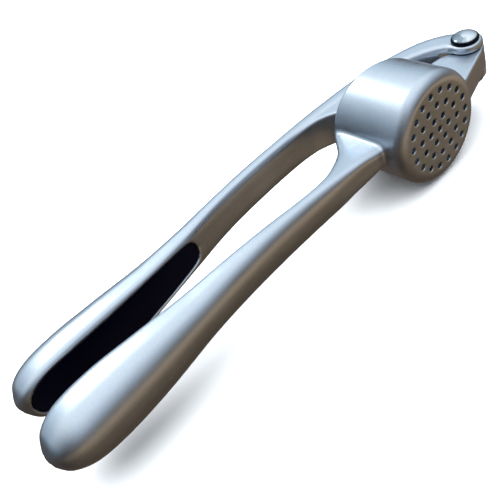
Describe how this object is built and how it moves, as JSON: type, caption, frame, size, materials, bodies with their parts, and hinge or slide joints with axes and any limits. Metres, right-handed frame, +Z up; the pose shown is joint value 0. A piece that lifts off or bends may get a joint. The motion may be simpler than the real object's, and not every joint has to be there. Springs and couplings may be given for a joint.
{
  "type": "garlic press",
  "caption": "Two-handled metal garlic press: perforated round chamber, plunger on a hinged arched lever, dark inserts in the handles.",
  "frame": {"origin": "bottom centre of the bounding box, with the press lying on its side and the handles closed", "axes": "+X from the free ends of the handles to the hinge; +Y from the perforated face, through the chamber, to the lever; +Z up, along the hinge pin"},
  "size_m": [0.1974, 0.0444, 0.038],
  "materials": {
    "satin_casting": "satin pearl plating on a die cast zinc alloy",
    "plain_casting": "plain satin casting",
    "steel_pin": "ground steel",
    "polished_pin": "mirror polished",
    "dark_insert": "smooth near-black, slightly soft"
  },
  "bodies": {
    "base": {"lower_casting": "satin_casting", "lower_insert": "dark_insert"},
    "lever": {"lever_casting": "satin_casting", "plunger": "plain_casting", "plunger_pin": "steel_pin", "hinge_pin": "polished_pin", "hinge_cap": "polished_pin", "lever_insert": "dark_insert"}
  },
  "joints": [
    {"name": "lever_hinge", "type": "hinge", "parent": "base", "child": "lever", "pos_m": [0.09275, -0.00617, 0.019], "axis": [0, 0, -1], "range_deg": [0, 110]}
  ]
}
